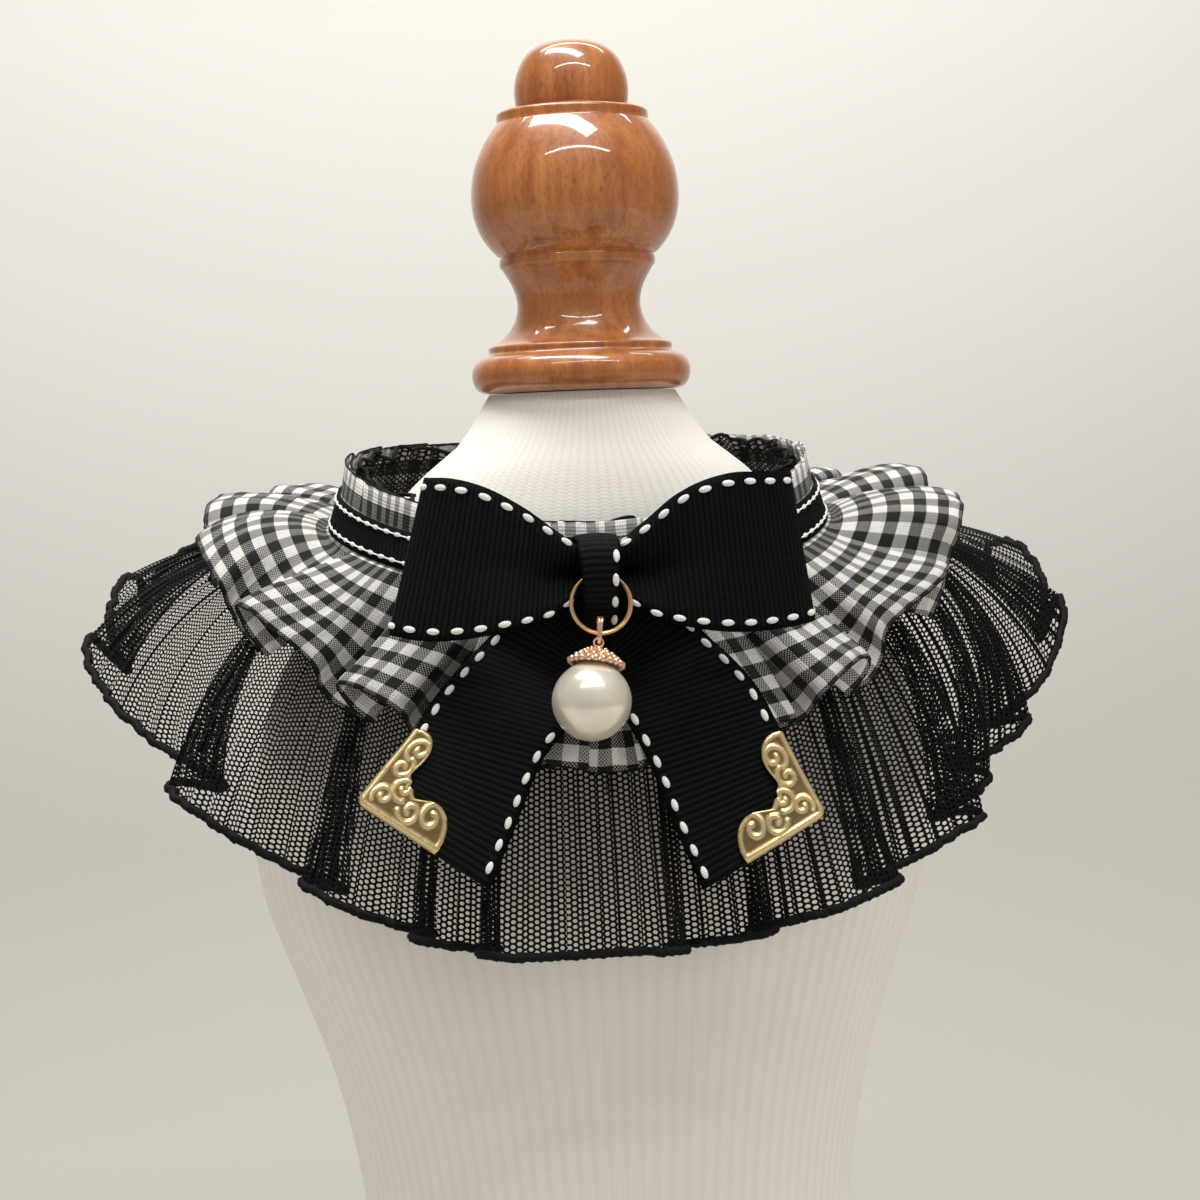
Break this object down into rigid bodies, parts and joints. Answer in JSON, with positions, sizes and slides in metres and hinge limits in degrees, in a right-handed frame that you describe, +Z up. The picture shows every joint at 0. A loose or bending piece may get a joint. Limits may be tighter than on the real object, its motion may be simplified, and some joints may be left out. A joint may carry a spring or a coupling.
{
  "type": "ruff collar on a small dress form",
  "caption": "Pleated gingham and net ruff collar with a stitched ribbon bow, gold corner plates and a hanging pearl, on a limbless dress form with a turned wooden neck cap.",
  "frame": {"origin": "middle of the form's flat base", "axes": "+Z up through the form, front of the collar towards -Y, +X to the right as seen from the front"},
  "size_m": [0.2833, 0.2277, 0.4192],
  "materials": {
    "knit_cover": "matt ribbed knit",
    "turned_wood": "glossy varnish",
    "gingham": "woven black and white check",
    "black_net": "open hexagonal net",
    "grosgrain": "ribbed ribbon with white saddle stitch",
    "dark_metal": "satin",
    "gold": "polished",
    "rose_gold": "polished",
    "pearl": "pearlescent"
  },
  "bodies": {
    "collar_on_form": {"dress_form": "knit_cover", "neck_cap": "turned_wood", "gingham_ruffle": "gingham", "net_ruffle": "black_net", "neck_band": "grosgrain", "snap": "dark_metal", "bow_loop_left": "grosgrain", "bow_loop_right": "grosgrain", "bow_tail_left": "grosgrain", "bow_tail_right": "grosgrain", "bow_knot": "grosgrain", "corner_plate_left": "gold", "corner_plate_right": "gold"},
    "ring": {"split_ring": "gold"},
    "link": {"bail": "rose_gold"},
    "drop": {"eye_pin": "rose_gold", "bead_cap": "rose_gold", "pearl": "pearl"}
  },
  "joints": [
    {"name": "ring_swing", "type": "hinge", "parent": "collar_on_form", "child": "ring", "pos_m": [-0.0046, -0.0715, 0.2811], "axis": [-1, 0, 0], "range_deg": [0, 75]},
    {"name": "bail_slide", "type": "hinge", "parent": "ring", "child": "link", "pos_m": [-0.0046, -0.07274, 0.27406], "axis": [0, -0.9848, 0.1736], "range_deg": [-20, 30]},
    {"name": "drop_swing", "type": "hinge", "parent": "link", "child": "drop", "pos_m": [-0.00543, -0.07411, 0.26632], "axis": [-1, 0, 0], "range_deg": [0, 70]}
  ]
}
